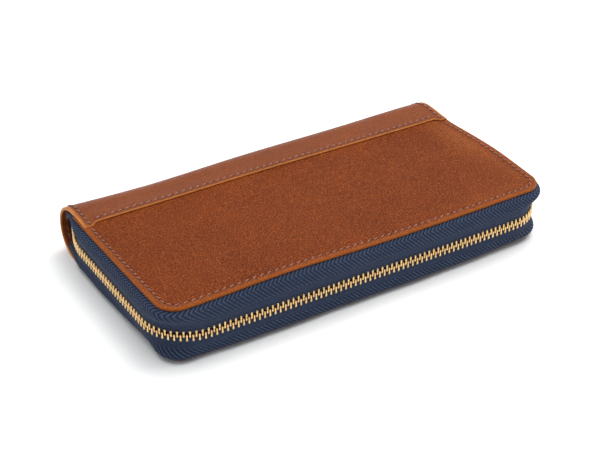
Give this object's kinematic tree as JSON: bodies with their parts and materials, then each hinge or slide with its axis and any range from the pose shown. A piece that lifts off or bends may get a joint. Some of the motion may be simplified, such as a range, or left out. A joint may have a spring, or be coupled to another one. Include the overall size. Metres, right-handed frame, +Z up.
{
  "type": "zip around wallet",
  "caption": "Long leather wallet that closes on three sides with a metal zip, with card slots, two note compartments and a zipped coin pocket.",
  "frame": {"origin": "middle of the resting plane: on the lower cover's outer face, half way along the spine, 54 mm behind the covers' front edge", "axes": "+X along the spine, +Y from the zipped front edge to the spine, +Z up through the thickness"},
  "size_m": [0.2066, 0.1115, 0.028],
  "materials": {
    "grained_leather": "tan, fine pebbled grain, satin",
    "smooth_leather": "tan, smooth, satin",
    "inner_leather": "tan, fine grain, matt",
    "gusset_leather": "navy, thin and soft, matt",
    "stiffener": "bonded leather board, raw",
    "lining_cloth": "navy twill",
    "zip_tape": "navy herringbone tape",
    "brass": "polished"
  },
  "bodies": {
    "lower_half": {"lower_cover_panel": "grained_leather", "lower_spine_strip": "smooth_leather", "lower_board": "stiffener", "lower_lining": "lining_cloth", "lower_slip_panel": "inner_leather", "lower_card_pocket_1": "inner_leather", "lower_card_pocket_2": "inner_leather", "lower_card_pocket_3": "inner_leather", "lower_card_pocket_4": "inner_leather", "lower_zip_tape": "zip_tape", "lower_teeth": "brass", "lower_teeth_right": "brass", "lower_top_stop": "brass", "lower_gusset_left": "gusset_leather", "lower_gusset_right": "gusset_leather", "zip_bottom_stop": "brass"},
    "coin_pocket": {"coin_pocket_lower_wall": "inner_leather", "coin_pocket_upper_wall": "inner_leather", "coin_pocket_lower_lining": "lining_cloth", "coin_pocket_upper_lining": "lining_cloth", "coin_pocket_left_side": "gusset_leather", "coin_pocket_right_side": "gusset_leather", "coin_pocket_bottom": "gusset_leather", "coin_pocket_hinge_strip": "gusset_leather", "coin_lower_tape": "zip_tape", "coin_upper_tape": "zip_tape", "coin_lower_teeth": "brass", "coin_upper_teeth": "brass", "coin_end_stops": "brass"},
    "upper_half": {"upper_cover_panel": "grained_leather", "upper_spine_strip": "smooth_leather", "upper_board": "stiffener", "upper_lining": "lining_cloth", "upper_slip_panel": "inner_leather", "upper_card_pocket_1": "inner_leather", "upper_card_pocket_2": "inner_leather", "upper_card_pocket_3": "inner_leather", "upper_card_pocket_4": "inner_leather", "upper_zip_tape": "zip_tape", "upper_teeth": "brass", "upper_teeth_right": "brass", "upper_top_stop": "brass", "upper_gusset_left": "gusset_leather", "upper_gusset_right": "gusset_leather"},
    "main_slider": {"zip_slider": "brass"},
    "main_bail": {"slider_bail": "brass"},
    "main_tab": {"pull_tab": "smooth_leather", "tab_rivet": "brass"},
    "small_slider": {"coin_slider": "brass"},
    "small_puller": {"coin_puller": "brass"}
  },
  "joints": [
    {"name": "divider_turn", "type": "hinge", "parent": "lower_half", "child": "coin_pocket", "pos_m": [0, 0.055, 0.013], "axis": [-1, 0, 0], "range_deg": [0, 34], "deforming": ["lower_gusset_left", "lower_gusset_right"]},
    {"name": "cover_open", "type": "hinge", "parent": "coin_pocket", "child": "upper_half", "pos_m": [0, 0.055, 0.013], "axis": [-1, 0, 0], "range_deg": [0, 34], "deforming": ["upper_gusset_left", "upper_gusset_right"]},
    {"name": "main_slider_run", "type": "slide", "parent": "lower_half", "child": "main_slider", "axis": [0, -1, 0], "range_m": [0, 0.062], "deforming": ["lower_teeth_right", "upper_teeth_right"]},
    {"name": "main_bail_swing", "type": "hinge", "parent": "main_slider", "child": "main_bail", "pos_m": [0.10345, 0.034, 0.013], "axis": [0, 0, 1], "range_deg": [0, 110]},
    {"name": "main_tab_swing", "type": "hinge", "parent": "main_bail", "child": "main_tab", "pos_m": [0.10345, 0.025, 0.013], "axis": [0, 0, 1], "range_deg": [0, 75]},
    {"name": "coin_slider_run", "type": "slide", "parent": "coin_pocket", "child": "small_slider", "axis": [-1, 0, 0], "range_m": [0, 0.146], "deforming": ["coin_lower_teeth", "coin_upper_teeth"]},
    {"name": "coin_puller_swing", "type": "hinge", "parent": "small_slider", "child": "small_puller", "pos_m": [0.079, -0.0371, 0.013], "axis": [0, 0, 1], "range_deg": [0, 90]}
  ]
}
